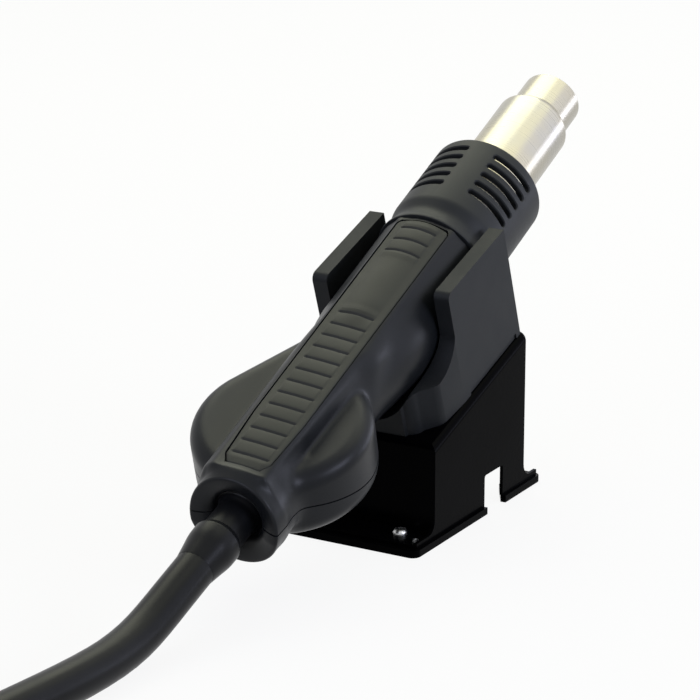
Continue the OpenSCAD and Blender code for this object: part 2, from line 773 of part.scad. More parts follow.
// The lead leaves the cup on its own slope, a little flatter than the handpiece
lead_x = 0.5;
exit_y = -113.5;
exit_z = 28.9;
exit_slope = 20.8;
lead_r = lead_d / 2;
boot_l = 22;
boot_in = 7.2;
boot_rim = 9.6;
boot_neck = 6.75;
boot_bulge = 7.75;

// Places a piece on the lead where it leaves the cup, pointing away from it
module at_exit() {
    translate([lead_x, exit_y, exit_z]) rotate([90 + exit_slope, 0, 0]) children();
}

module cord_boot() {
    color("#1b1c1e") at_exit() rotate_extrude($fn = fine) polygon([
        [0, -boot_in], [boot_rim, -boot_in], [boot_rim, 1.8 - boot_in], [boot_neck, 2 - boot_in],
        [boot_neck, 5], [boot_bulge - 0.05, 8], [boot_bulge, boot_l - 7], [lead_r + 0.6, boot_l - 1],
        [lead_r, boot_l], [0, boot_l]]);
}

// Lead from the boot's end down to the surface and along it to the coil
lead_path = [
    [lead_x, exit_y - boot_l * cos(exit_slope), exit_z - boot_l * sin(exit_slope)],
    [lead_x, exit_y - 36 * cos(exit_slope), exit_z - 36 * sin(exit_slope)],
    [0.5, -158, 12], [0.4, -168, 9], [0.2, -180, 7.3], [-0.4, -194, 6.8], [-1.6, -210, 6.8],
    [-3.4, -228, 6.9], [-5.2, -246, 7.1], [-6.5, -262, 7.45], [-6.5, -276, 7.45]];

// The coil lies beside the lead: one turn in, half a turn up, one turn out on top
coil_pitch = lead_d + 0.8;
coil_turns = 2.5;
coil_x = -6.5 - coil_r - coil_pitch / 2;
coil_y = -290;
coil_z = lead_r + 0.85;
function coil_reach(t) = t <= 1.25 ? coil_r + coil_pitch * (0.5 - t) : coil_r - coil_pitch * (2 - t);
function coil_rise(t) = coil_pitch * max(0, min(1, 2 * (t - 1)));
function coil_point(t) =
    [coil_x + coil_reach(t) * cos(-360 * t), coil_y + coil_reach(t) * sin(-360 * t), coil_z + coil_rise(t)];
coil_end = coil_point(coil_turns);
coil_path = concat(
    [[-6.5, -276, coil_z]],
    [for (i = [0:24 * coil_turns]) coil_point(i / 24)],
    [coil_end + [0, 14, 0]]);
coil_gap = min([for (i = [0:len(coil_path) - 1]) for (j = [i + 12:1:len(coil_path) - 1])
    norm(coil_path[i] - coil_path[j])]) - lead_d;
echo(coil_gap = coil_gap);

// Last stretch, from the top of the coil down to the plug beside it
plug_x = -151;
plug_y = -206;
plug_z = 12.3;
tail_path = [
    coil_end + [0, 14, 0], coil_end + [0, 26, 0], [coil_end[0] + 0.8, -250, 19.6],
    [coil_end[0] + 2, -238, 17], [plug_x - 0.6, -226, 14.2], [plug_x, -215, plug_z], [plug_x, plug_y, plug_z]];
nut_r = 12;
plug_r = 9.4;

module lead() {
    color("#17181a") swept(lead_path, lead_r / cos(15), 12);
}

module lead_coil() {
    color("#17181a") swept(coil_path, lead_r, 12);
}

module lead_tail() {
    color("#17181a") swept(tail_path, lead_r / cos(15), 12);
}

// Strap round the two stacked turns at the coil's far side
module coil_tie() {
    tie_y = coil_y + coil_reach(0.75);
    color("#303234") translate([coil_x - 3, tie_y, coil_z]) rotate([90, 0, 90]) linear_extrude(6)
        difference() {
            tie_outline(lead_r + 0.85);
            tie_outline(lead_r + 0.5);
        }
}

module tie_outline(r) {
    for (z = [0, coil_pitch]) translate([0, z]) circle(r, $fn = small);
    translate([-r, 0]) square([2 * r, coil_pitch]);
}

// Places a piece on the plug's axis, with +Z towards the pins
module at_plug() {
    translate([plug_x, plug_y, plug_z]) rotate([-90, 0, 0]) children();
}

module plug_boot() {
    color("#1b1c1e") at_plug() rotate_extrude($fn = fine) polygon([
        [0, 0], [7.2, 0], [7.6, 4], [8.4, 12], [8.4, 15], [0, 15]]);
}

module plug_body() {
    color("#b4b4b2") at_plug() difference() {
        rotate_extrude($fn = fine) polygon([
            [0, 15.02], [9.6, 15.02], [10.2, 16], [10.2, 27], [plug_r, 28], [plug_r, 31], [8.2, 32],
            [8.2, 47], [0, 47]]);
        translate([0, 0, 33]) cylinder(h = 20, r = 7.4, $fn = fine);
    }
}

module plug_nut() {
    color("#c2c2c0") at_plug() difference() {
        union() {
            translate([0, 0, 32.05]) cylinder(h = 13.35, r = nut_r - 0.6, $fn = fine);
            for (z = [32.4, 39]) translate([0, 0, z]) cylinder(h = 5.4, r = nut_r, $fn = fine);
        }
        translate([0, 0, 30]) cylinder(h = 4, r = 8.26, $fn = fine);
        translate([0, 0, 33]) cylinder(h = 20, r = 10, $fn = fine);
        for (i = [0:23]) rotate([0, 0, 15 * i]) translate([nut_r - 0.35, -0.4, 30]) cube([2, 0.8, 20]);
    }
}

module plug_insert() {
    color("#26262a") at_plug() {
        translate([0, 0, 33.02]) cylinder(h = 4, r = 7.36, $fn = fine);
        for (i = [0:6]) rotate([0, 0, 360 * i / 7]) translate([4.8, 0, 36]) cylinder(h = 9, r = 0.75, $fn = 16);
        translate([0, 0, 36]) cylinder(h = 9, r = 0.75, $fn = 16);
    }
}

base_plate();
rear_feet();
bracket();
flange_screws();
corner_studs();
cradle();
cradle_screws();
cradle_magnet();
upper_shell();
lower_shell();
grip_inlay();
shell_screws();
intake_grille();
guard_collar();
heater_tube();
tube_flange();
flange_bolts();
mica_sleeve();
heater_core();
heater_winding();
thermocouple();
fan_cover();
fan_scroll();
motor_stator();
shaft_bearing();
impeller();
motor_shaft();
control_board();
reed_switch();
wire_loom();
cord_boot();
lead();
lead_coil();
lead_tail();
coil_tie();
plug_boot();
plug_body();
plug_nut();
plug_insert();
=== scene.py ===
import bpy
import bmesh
import math
import numpy as np
from mathutils import Matrix, Vector


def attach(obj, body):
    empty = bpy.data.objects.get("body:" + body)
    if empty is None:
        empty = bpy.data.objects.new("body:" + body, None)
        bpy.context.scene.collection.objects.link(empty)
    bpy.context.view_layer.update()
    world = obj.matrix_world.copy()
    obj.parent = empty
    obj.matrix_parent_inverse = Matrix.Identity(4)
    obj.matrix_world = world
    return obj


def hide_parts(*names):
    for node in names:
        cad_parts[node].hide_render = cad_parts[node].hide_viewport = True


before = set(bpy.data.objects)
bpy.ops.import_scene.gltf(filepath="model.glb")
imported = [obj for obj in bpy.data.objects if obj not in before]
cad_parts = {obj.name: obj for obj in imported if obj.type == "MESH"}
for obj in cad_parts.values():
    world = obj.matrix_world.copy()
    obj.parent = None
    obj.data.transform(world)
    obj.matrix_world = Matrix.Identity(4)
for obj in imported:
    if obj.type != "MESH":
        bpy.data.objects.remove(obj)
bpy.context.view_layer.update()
scene = bpy.context.scene
mm = 0.001


# sRGB hex to linear RGBA
def srgb(code):
    values = [int(code[i:i + 2], 16) / 255 for i in (1, 3, 5)]
    return [v / 12.92 if v <= 0.04045 else ((v + 0.055) / 1.055) ** 2.4 for v in values] + [1.0]


# One node with its fixed sockets, links and settings, in a material or the world
def addNode(holder, kind, sockets=None, links=None, **settings):
    node = holder.node_tree.nodes.new(kind)
    for name, value in settings.items():
        setattr(node, name, value)
    for name, value in (sockets or {}).items():
        node.inputs[name].default_value = value
    for name, source in (links or {}).items():
        holder.node_tree.links.new(source, node.inputs[name])
    return node


def addMaterial(name):
    material = bpy.data.materials.new(name)
    material.use_nodes = True
    material.node_tree.nodes.clear()
    return material


# Matrix from a piece's own millimetres to the scene's metres, turned about its origin
def localFrame(origin, turns=()):
    matrix = Matrix.Translation(origin)
    for degrees, axis in turns:
        matrix = matrix @ Matrix.Rotation(math.radians(degrees), 4, axis)
    return matrix @ Matrix.Scale(mm, 4)


plainFrame = localFrame((0, 0, 0))
handFrame = localFrame((0, 0.020, 0.0847), [(24.2, "X"), (7.4, "Y")])  # local Y runs to the nozzle
exitFrame = localFrame((0.0005, -0.1135, 0.0289), [(110.8, "X")])  # local Z runs down the lead


def smoothen(mesh, edge):
    for polygon in mesh.polygons:
        polygon.use_smooth = True
    mesh.set_sharp_from_angle(angle=math.radians(edge))


def closedMesh(name, points, faces, place):
    mesh = bpy.data.meshes.new(name)
    mesh.from_pydata([place @ Vector(p) for p in points], [], faces)
    bm = bmesh.new()
    bm.from_mesh(mesh)
    bmesh.ops.recalc_face_normals(bm, faces=bm.faces)
    bm.to_mesh(mesh)
    bm.free()
    return mesh


def addPiece(name, points, faces, material, body, replaced, place=handFrame, edge=38, uvs=None):
    mesh = closedMesh(name, points, faces, place)
    if uvs:
        layer = mesh.uv_layers.new(name="around")
        for loop in mesh.loops:
            layer.data[loop.index].uv = uvs[loop.vertex_index]
    piece = bpy.data.objects.new(name, mesh)
    scene.collection.objects.link(piece)
    mesh.materials.append(material)
    smoothen(mesh, edge)
    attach(piece, body)
    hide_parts(*replaced)
    return piece


def applyModifiers(piece):
    graph = bpy.context.evaluated_depsgraph_get()
    graph.update()
    mesh = bpy.data.meshes.new_from_object(piece.evaluated_get(graph))
    old = piece.data
    piece.modifiers.clear()
    piece.data = mesh
    mesh.name = old.name
    bpy.data.meshes.remove(old)


def cutAway(piece, points, faces, place=handFrame, edge=38):
    mesh = closedMesh("cutter", points, faces, place)
    cutter = bpy.data.objects.new("cutter", mesh)
    scene.collection.objects.link(cutter)
    cut = piece.modifiers.new("cut", "BOOLEAN")
    cut.object = cutter
    cut.solver = "EXACT"
    applyModifiers(piece)
    bpy.data.objects.remove(cutter)
    bpy.data.meshes.remove(mesh)
    smoothen(piece.data, edge)


# Closed profile with its corners rounded: each entry is (radius, place, fillet)
def softProfile(corners, steps):
    result = []
    count = len(corners)
    for i, (x, y, r) in enumerate(corners):
        here = Vector((x, y))
        if r == 0:
            result.append((x, y))
            continue
        before = Vector(corners[i - 1][:2]) - here
        after = Vector(corners[(i + 1) % count][:2]) - here
        reach = min(r, before.length * 0.45, after.length * 0.45)
        start = here + before.normalized() * reach
        end = here + after.normalized() * reach
        for k in range(steps + 1):
            t = k / steps
            point = start * (1 - t) ** 2 + here * 2 * t * (1 - t) + end * t * t
            result.append((point.x, point.y))
    return result


# Solid of revolution about local Y (or Z) through a closed profile
def lathe(profile, steps, axis="Y"):
    points = []
    uvs = []
    faces = []
    count = len(profile)
    for k in range(steps):
        a = 2 * math.pi * k / steps
        for r, y in profile:
            points.append((r * math.sin(a), y, r * math.cos(a)) if axis == "Y"
                          else (r * math.cos(a), r * math.sin(a), y))
            uvs.append((a * 10 * mm, y * mm))
    for k in range(steps):
        n = (k + 1) % steps
        for i in range(count):
            j = (i + 1) % count
            faces.append((k * count + i, k * count + j, n * count + j, n * count + i))
    return points, faces, uvs


# Sides and both ends of a body of stacked rings
def ringFaces(levels, sides):
    faces = []
    for i in range(levels - 1):
        for k in range(sides):
            n = (k + 1) % sides
            faces.append((i * sides + k, i * sides + n, (i + 1) * sides + n, (i + 1) * sides + k))
    return faces + [tuple(range(sides)), tuple(range((levels - 1) * sides, levels * sides))]


# Upright round plug whose radius changes from level to level
def steppedPlug(x, y, levels, steps):
    points = [(x + r * math.cos(2 * math.pi * k / steps), y + r * math.sin(2 * math.pi * k / steps), z)
              for z, r in levels for k in range(steps)]
    return points, ringFaces(len(levels), steps)


def joined(parts):
    points = []
    faces = []
    for more, sides in parts:
        faces += [tuple(i + len(points) for i in side) for side in sides]
        points += more
    return points, faces


# Materials. Sizes of patterns are in millimetres. A moulded grain and turning lines are finer than a tenth
# of a millimetre on the real piece, and are drawn coarser, so that they show at all.

noiseSpan = {"From Min": 0.3, "From Max": 0.7}  # nearly all values of a noise lie between these


# Scale of a noise on object or UV coordinates in metres, from the size of its patches
def scaleOf(size):
    return 1000 / size


# Tone follows one pattern, gloss a second and relief a third
def patternedSurface(material, look, tone, gloss, relief, depth, sockets):
    toneRange = addNode(material, "ShaderNodeMapRange", links={"Value": tone},
                        sockets={**noiseSpan, "To Min": 0.0, "To Max": 1.0})
    colour = addNode(material, "ShaderNodeMix", data_type="RGBA", links={0: toneRange.outputs["Result"]},
                     sockets={6: srgb(look["tones"][0]), 7: srgb(look["tones"][1])})
    rough = addNode(material, "ShaderNodeMapRange", links={"Value": gloss},
                    sockets={**noiseSpan, "To Min": look["rough"][0], "To Max": look["rough"][1]})
    bump = addNode(material, "ShaderNodeBump", links={"Height": relief},
                   sockets={"Strength": look["relief"], "Distance": depth * mm})
    shader = addNode(material, "ShaderNodeBsdfPrincipled", sockets=sockets,
                     links={"Base Color": colour.outputs[2], "Roughness": rough.outputs["Result"],
                            "Normal": bump.outputs["Normal"]})
    addNode(material, "ShaderNodeOutputMaterial", links={"Surface": shader.outputs["BSDF"]})
    return material


def mouldedPlastic(name, look):
    material = addMaterial(name)
    where = addNode(material, "ShaderNodeTexCoord").outputs["Object"]
    cloud = addNode(material, "ShaderNodeTexNoise", links={"Vector": where},
                    sockets={"Scale": scaleOf(16.667), "Detail": 4.0, "Roughness": 0.6}).outputs["Fac"]
    grain = addNode(material, "ShaderNodeTexNoise", links={"Vector": where},
                    sockets={"Scale": scaleOf(look["grain"]), "Detail": 2.0, "Roughness": 0.5}).outputs["Fac"]
    return patternedSurface(material, look, cloud, cloud, grain, 0.06,
                            {"IOR": 1.5, "Specular IOR Level": look["specular"]})


def powderCoatedSteel(name, look):
    material = addMaterial(name)
    where = addNode(material, "ShaderNodeTexCoord").outputs["Object"]
    peel = addNode(material, "ShaderNodeTexNoise", links={"Vector": where},
                   sockets={"Scale": scaleOf(look["peel"]), "Detail": 1.0, "Roughness": 0.4}).outputs["Fac"]
    haze = addNode(material, "ShaderNodeTexNoise", links={"Vector": where},
                   sockets={"Scale": scaleOf(28.57), "Detail": 3.0, "Roughness": 0.6}).outputs["Fac"]
    return patternedSurface(material, look, haze, haze, peel, 0.2,
                            {"IOR": 1.5, "Specular IOR Level": look["specular"]})


# Lines round the tube, long around it and thin along it
def turnedSteel(name, look):
    material = addMaterial(name)
    around = addNode(material, "ShaderNodeUVMap", uv_map="around").outputs["UV"]
    stretched = addNode(material, "ShaderNodeMapping", links={"Vector": around},
                        sockets={"Scale": (scaleOf(look["line"][0]), scaleOf(look["line"][1]), 1.0)})
    rings = addNode(material, "ShaderNodeTexNoise", links={"Vector": stretched.outputs["Vector"]},
                    sockets={"Scale": 1.0, "Detail": 3.0, "Roughness": 0.6}).outputs["Fac"]
    where = addNode(material, "ShaderNodeTexCoord").outputs["Object"]
    tint = addNode(material, "ShaderNodeTexNoise", links={"Vector": where},
                   sockets={"Scale": scaleOf(22.22), "Detail": 2.0, "Roughness": 0.5}).outputs["Fac"]
    return patternedSurface(material, look, tint, rings, rings, 0.04, {"Metallic": 0.7, "Anisotropic": 0.3})


def bareMetal(name, look):
    material = addMaterial(name)
    where = addNode(material, "ShaderNodeTexCoord").outputs["Object"]
    smear = addNode(material, "ShaderNodeTexNoise", links={"Vector": where},
                    sockets={"Scale": scaleOf(look["grain"]), "Detail": 3.0, "Roughness": 0.6}).outputs["Fac"]
    return patternedSurface(material, look, smear, smear, smear, 0.05, {"Metallic": look["metal"]})


# Etched mould: a broad soft sheen and no clear reflection
shellPlastic = mouldedPlastic("fine grained black nylon, moulded", {
    "tones": ("#15171a", "#1c1e21"), "rough": (0.33, 0.43), "grain": 0.35, "relief": 0.35, "specular": 0.16})
# Soft rubber: a shade lighter and duller than the shells, slightly warm
inlayRubber = mouldedPlastic("soft touch grip elastomer, overmoulded", {
    "tones": ("#2b2c28", "#33342f"), "rough": (0.5, 0.62), "grain": 0.3, "relief": 0.45, "specular": 0.22})
# Filled plastic near the heat: grey-black and matt
collarPlastic = mouldedPlastic("heat resistant nylon, moulded", {
    "tones": ("#232527", "#2a2c2d"), "rough": (0.45, 0.55), "grain": 0.35, "relief": 0.4, "specular": 0.17})
# Spark eroded mould: a coarser grain that scatters every highlight
cradlePlastic = mouldedPlastic("spark eroded phenolic, moulded", {
    "tones": ("#1b1d1f", "#232527"), "rough": (0.5, 0.62), "grain": 0.4, "relief": 0.55, "specular": 0.14})
# Deep black with faint orange peel; its level is low, or the white paper would turn it grey
blackPaint = powderCoatedSteel("gloss black powder coat on folded steel", {
    "tones": ("#040405", "#070708"), "rough": (0.16, 0.26), "peel": 1.6, "relief": 0.12, "specular": 0.01})
# Spun tube: highlights drawn out around it, warm in part from heat
satinSteel = turnedSteel("satin stainless steel, spun", {
    "tones": ("#b8b098", "#aeaba2"), "rough": (0.26, 0.32), "line": (50.0, 0.2857), "relief": 0.05})
# Zinc: pale metal with small clear glints
screwSteel = bareMetal("zinc plated screw steel, rolled", {
    "tones": ("#a9aaab", "#d0d1d0"), "rough": (0.22, 0.38), "grain": 1.2, "relief": 0.08, "metal": 1.0})
# Smooth extruded jacket: a long thin highlight along the lead
leadRubber = mouldedPlastic("black silicone cable jacket, extruded", {
    "tones": ("#0e0f11", "#151618"), "rough": (0.3, 0.38), "grain": 0.5, "relief": 0.2, "specular": 0.12})
# Plain black inner moulding
innerPlastic = mouldedPlastic("glass filled nylon, moulded", {
    "tones": ("#1a1b1d", "#222325"), "rough": (0.4, 0.5), "grain": 0.5, "relief": 0.3, "specular": 0.5})
# Golden flakes with a pearly gloss
mica = mouldedPlastic("mica paper, rolled", {
    "tones": ("#b39a63", "#cdb988"), "rough": (0.3, 0.5), "grain": 2.0, "relief": 0.3, "specular": 0.6})
# Chalky cream, no gloss
ceramic = mouldedPlastic("cordierite ceramic, extruded", {
    "tones": ("#d8d2c2", "#ece7da"), "rough": (0.7, 0.85), "grain": 0.3, "relief": 0.5, "specular": 0.3})
# Oxide from use: brown-grey and dull
heaterWire = bareMetal("resistance wire, oxidised", {
    "tones": ("#5e574e", "#8d8578"), "rough": (0.4, 0.55), "grain": 0.8, "relief": 0.08, "metal": 1.0})
# Clear enamel over copper: warm red metal
copperWire = bareMetal("enamelled copper, wound", {
    "tones": ("#8f4a26", "#b9683a"), "rough": (0.25, 0.4), "grain": 0.4, "relief": 0.08, "metal": 0.9})
# Pores hold oil: yellow-brown and half dull
bronze = bareMetal("sintered bronze, pressed", {
    "tones": ("#8c6a32", "#b8904a"), "rough": (0.4, 0.55), "grain": 0.3, "relief": 0.08, "metal": 1.0})
# Bright plating over turned brass: clear reflections
nickel = bareMetal("nickel plated brass, turned", {
    "tones": ("#b8b7b2", "#cfcec8"), "rough": (0.16, 0.26), "grain": 3.0, "relief": 0.08, "metal": 1.0})
# Green mask over glass cloth, smooth and shiny
boardLaminate = mouldedPlastic("green glass laminate, solder masked", {
    "tones": ("#1d4a2c", "#275c38"), "rough": (0.25, 0.4), "grain": 0.8, "relief": 0.2, "specular": 0.6})
# Pale green glass with a sharp highlight
reedGlass = mouldedPlastic("reed switch glass, drawn", {
    "tones": ("#9fb5a8", "#c4d6cb"), "rough": (0.05, 0.12), "grain": 3.0, "relief": 0.05, "specular": 0.7})
# Wires under cloth tape: dull red
loomSleeve = mouldedPlastic("red wire bundle, taped", {
    "tones": ("#5c1715", "#7e2420"), "rough": (0.5, 0.65), "grain": 1.0, "relief": 0.6, "specular": 0.4})
# Fine loops that swallow light
strapFabric = mouldedPlastic("hook and loop strap, woven", {
    "tones": ("#18191b", "#2b2c2f"), "rough": (0.8, 0.95), "grain": 0.35, "relief": 1.0, "specular": 0.2})
print("materials made")


cameraLook = {"place": (0.4598, -0.8297, 0.3401), "azimuth": 30.19, "elevation": 16.69, "lens": 149.14}
camera = bpy.data.objects.new("camera", bpy.data.cameras.new("camera"))
camera.data.lens = cameraLook["lens"]
camera.data.sensor_width = 36.0
camera.data.clip_start = 0.01
camera.location = cameraLook["place"]
camera.rotation_euler = (math.radians(90 - cameraLook["elevation"]), 0, math.radians(cameraLook["azimuth"]))
scene.collection.objects.link(camera)
scene.camera = camera
print("camera placed")


# Lead, in millimetres: straight out of the cup, down to the surface, then the coil and the plug

leadLook = {"radius": 6.6, "sides": 24, "exit": (0.5, -113.5, 28.9), "slope": 20.8,
            "coilRadius": 67.0, "coilY": -289.75, "coilZ": 7.45, "startX": -6.5,
            "pitch": 14.0, "turns": 2.5, "steps": 24}
coilX = leadLook["startX"] - leadLook["coilRadius"] - leadLook["pitch"] / 2


# The coil winds inwards for a turn and a quarter, climbs by one pitch, and winds outwards on top
def coilPoint(t):
    pitch = leadLook["pitch"]
    reach = leadLook["coilRadius"] + (pitch * (0.5 - t) if t <= 1.25 else -pitch * (2 - t))
    rise = pitch * max(0.0, min(1.0, 2 * (t - 1)))
    a = -2 * math.pi * t
    return (coilX + reach * math.cos(a), leadLook["coilY"] + reach * math.sin(a), leadLook["coilZ"] + rise)


exitPoint = Vector(leadLook["exit"])
slope = math.radians(leadLook["slope"])
downLead = Vector((0, -math.cos(slope), -math.sin(slope)))
route = [tuple(exitPoint + downLead * reach) for reach in (0, 10, 22, 36)]
route += [(0.5, -158, 12), (0.4, -168, 9), (0.2, -180, 7.3), (-0.4, -194, 6.8), (-1.6, -210, 6.8),
          (-3.4, -228, 6.9), (-5.2, -246, 7.1), (-6.5, -262, 7.45), (-6.5, -276, 7.45)]
coilCount = int(leadLook["turns"] * leadLook["steps"]) + 1
route += [coilPoint(i / leadLook["steps"]) for i in range(coilCount)]
lastTurn = coilPoint(leadLook["turns"])
route += [(lastTurn[0], lastTurn[1] + 14, lastTurn[2]), (lastTurn[0], lastTurn[1] + 26, lastTurn[2]),
          (lastTurn[0] + 0.8, -250, 19.6), (lastTurn[0] + 2, -238, 17), (-151.6, -226, 14.2),
          (-151, -215, 12.3), (-151, -206, 12.3)]


# The route's points with one more between each two, on a smooth curve through them
def smoothRoute(points):
    result = []
    for i in range(len(points) - 1):
        p0, p1, p2, p3 = [Vector(points[max(0, min(len(points) - 1, k))]) for k in (i - 1, i, i + 1, i + 2)]
        result.append(p1)
        result.append((9 * (p1 + p2) - p0 - p3) / 16)
    result.append(Vector(points[-1]))
    return result


def sweep(points, radius, sides):
    rings = []
    uvs = []
    run = 0.0
    for i, p in enumerate(points):
        ahead = (points[min(i + 1, len(points) - 1)] - points[max(i - 1, 0)]).normalized()
        side = ahead.cross(Vector((0, 0, 1))).normalized()
        top = side.cross(ahead)
        run += (p - points[i - 1]).length if i else 0
        for k in range(sides):
            a = 2 * math.pi * k / sides
            rings.append(p + side * radius * math.cos(a) + top * radius * math.sin(a))
            uvs.append((a * 7 * mm, run * mm))
    return rings, ringFaces(len(points), sides), uvs


fineRoute = smoothRoute(route)
rings, faces, uvs = sweep(fineRoute, leadLook["radius"], leadLook["sides"])
cable = addPiece("cable", rings, faces, leadRubber, "handpiece", ("lead", "lead_coil", "lead_tail"),
                 plainFrame, uvs=uvs)
cableLength = sum((fineRoute[i + 1] - fineRoute[i]).length for i in range(len(fineRoute) - 1)) * mm
print("cable length", round(cableLength, 3))

# Boot: a root inside the cup, a plain neck, a bulge and a taper onto the lead
bootLook = {"bore": 6.62, "root": 9.4, "rootEnd": -5.6, "neck": 6.9, "neckEnd": 7.6, "bulge": 8.2,
            "bulgeStart": 8.8, "bulgeEnd": 13.5, "end": 6.65, "length": 22.8}
bootProfile = softProfile([
    (bootLook["bore"], -6.8, 0), (bootLook["root"], -6.8, 0.4), (bootLook["root"], bootLook["rootEnd"], 0.4),
    (7.9, -5.2, 0.5), (bootLook["neck"], -3.0, 1.0), (bootLook["neck"], bootLook["neckEnd"], 0.8),
    (bootLook["bulge"], bootLook["bulgeStart"], 1.0), (bootLook["bulge"], bootLook["bulgeEnd"], 2.5),
    (7.4, 18.0, 3.0), (bootLook["end"], bootLook["length"], 0.5),
    (bootLook["bore"], bootLook["length"] + 0.1, 0)], 6)
points, faces, uvs = lathe(bootProfile, 96, "Z")
boot = addPiece("strainRelief", points, faces, leadRubber, "handpiece", ("cord_boot",), exitFrame, uvs=uvs)

print("lead laid")


# Handpiece shells, in millimetres on the axis of the grip. Each form below gives a distance to its surface,
# negative inside, and the forms are run together with soft joints.

shellLook = {
    "front": -5.2, "wall": 2.2, "spacing": 1.1,
    # Grip: radius at the collar, and each narrowing as (amount, from, to) towards the rear
    "grip": 19.6, "narrowings": [(3.4, 48, 79), (5.0, 75, 97)],
    # Parting line between the shells: half its gap, and its height along the handpiece
    "partingGap": 0.28,
    "partingRun": [0, 92, 100, 108, 138, 145], "partingRise": [-7.4, -7.4, -6.9, -5.3, 2.4, 3.4],
    # Blower housing: a disc with a straight run from its left side to the grip
    "disc": 29.8, "discX": -4.0, "discY": -103.5, "discSlant": 27.3,
    "discTop": 11.2, "discTopRound": 5.4, "discLow": 15.0, "discLowRound": 7.0,
    # Cup round the lead: its body swells as (amount, from, to), and its mouth is rolled and slanted
    "cupBody": 13.4, "cupSwells": [(1.6, 118, 131), (0.9, 132, 139)], "cupFront": -117.0, "cupHeight": 3.3,
    "cup": 15.9, "cupRear": -145.0, "cupRoll": 0.9, "mouthSlant": 0.22,
    "funnel": [(14.2, 0.1), (13.0, 0.35), (11.7, 0.8), (10.5, 1.4),
               (9.5, 2.3), (8.8, 3.4), (8.4, 4.4), (8.3, 5.0)],
    "cupInside": -140.0,
    # Underside: air inlet with its step, and the holes at the screws
    "inlet": (17.2, 15.2), "inletStep": 1.1, "screwHole": 2.7,
    "screws": [(11.5, -17), (-11.5, -17), (12.5, -62), (-12.5, -62)]}

# Ridge: each plane is (share across, its place across, share up, its height)
ridgeLook = {
    "top": 17.75, "rise": 0.00873, "half": 16.2, "low": -5.0, "widening": (45, 80),
    "steep": (0.8645, 10.6, 0.5023, 17.0), "gentle": (0.574, 9.8, 0.819, 17.75),
    "flank": (0.974, 14.9, 0.226, 9.6),
    "rear": 139.0, "bow": 4.0, "bowHalf": 12.0,
    # Narrow right shoulder: a leaning plane from the crease down to its foot
    "creaseRun": [60, 110, 130, 140], "crease": [10.5, 10.0, 9.2, 9.2], "leanDrop": 6.55,
    "footRun": [60, 84, 98, 112, 125, 140], "foot": [15.2, 12.6, 11.6, 11.1, 10.4, 10.3]}

stripLook = {
    "front": -6.6, "rear": -134.0, "gap": 0.4, "depth": 1.45, "crown": 0.35, "skirt": 1.42,
    "widthRun": [0, 6.6, 7.0, 7.8, 8.8, 110, 130.5, 134, 200],
    "half": [8.2, 8.2, 8.8, 9.3, 9.5, 9.1, 7.9, 5.8, 5.8],
    "grooves": [-10.9, -17.1, -23.3] + [-57.0 - 6.0 * i for i in range(13)],
    "grooveDepth": 0.6, "grooveWidth": 0.4, "grooveHalf": 5.9, "grooveReach": 3.1,
    "ribHeight": 0.3, "ribHalf": 6.9, "ribFade": 0.9}


def smoothMin(a, b, k):
    h = np.clip(0.5 + 0.5 * (b - a) / k, 0, 1)
    return b * (1 - h) + a * h - k * h * (1 - h)


def smoothMax(a, b, k):
    return -smoothMin(-a, -b, k)


def eased(value, start, end):
    t = np.clip((value - start) / (end - start), 0, 1)
    return t * t * (3 - 2 * t)


def gripRadius(y):
    radius = shellLook["grip"]
    for amount, start, end in shellLook["narrowings"]:
        radius = radius - amount * eased(-y, start, end)
    return radius


def slantPlane(side, up, plane):
    return plane[0] * (side - plane[1]) + plane[2] * (up - plane[3])


def ridgeForm(x, y, z):
    look = ridgeLook
    side = np.abs(x)
    up = z + look["rise"] * y
    wide = eased(-y, *look["widening"])
    shoulder = slantPlane(side, up, look["steep"]) * (1 - wide) + slantPlane(side, up, look["gentle"]) * wide
    top = smoothMax(up - look["top"], shoulder, 0.7)
    flank = smoothMax(slantPlane(side, up, look["flank"]), side - look["half"], 2.0)
    end = -look["rear"] - y - look["bow"] * np.maximum(0.0, 1 - (side / look["bowHalf"]) ** 2)
    crease = np.interp(-y, look["creaseRun"], look["crease"])
    foot = np.interp(-y, look["footRun"], look["foot"]) - crease
    lean = ((side - crease) * look["leanDrop"] + (up - look["top"]) * foot) / np.hypot(look["leanDrop"], foot)
    lean = np.where(x > 0, lean - 8 * (1 - wide), -50.0)  # only at the right, and only over the blower
    body = smoothMax(smoothMax(top, flank, 2.0), lean, 1.6)
    body = smoothMax(body, end, 4.6)
    return smoothMax(body, look["low"] - z, 3.0)


def discForm(x, y, z):
    left = x - shellLook["discX"]
    ahead = y - shellLook["discY"]
    plain = np.hypot(left, ahead) - shellLook["disc"]
    turn = math.radians(shellLook["discSlant"])
    beside = ahead * math.sin(turn) - left * math.cos(turn) - shellLook["disc"]
    along = left * math.sin(turn) + ahead * math.cos(turn)
    run = np.maximum(np.maximum(beside, -along), x)
    out = np.minimum(plain, run)

    def rim(height, radius):
        a = out + radius
        b = np.abs(z) - (height - radius)
        return np.hypot(np.maximum(a, 0), np.maximum(b, 0)) + np.minimum(np.maximum(a, b), 0) - radius

    return np.where(z >= 0, rim(shellLook["discTop"], shellLook["discTopRound"]),
                    rim(shellLook["discLow"], shellLook["discLowRound"]))


def cupForm(x, y, z):
    radius = shellLook["cupBody"]
    for amount, start, end in shellLook["cupSwells"]:
        radius = radius + amount * eased(-y, start, end)
    return smoothMax(np.hypot(x, z - shellLook["cupHeight"]) - radius, y - shellLook["cupFront"], 3.0)


def handForm(x, y, z):
    body = smoothMin(np.hypot(x, z) - gripRadius(y), ridgeForm(x, y, z), 1.2)
    body = smoothMin(body, discForm(x, y, z), 1.2)
    return smoothMin(body, cupForm(x, y, z), 3.6)


# Height of the line where the two shells meet
def partingHeight(y):
    return float(np.interp(-y, shellLook["partingRun"], shellLook["partingRise"]))


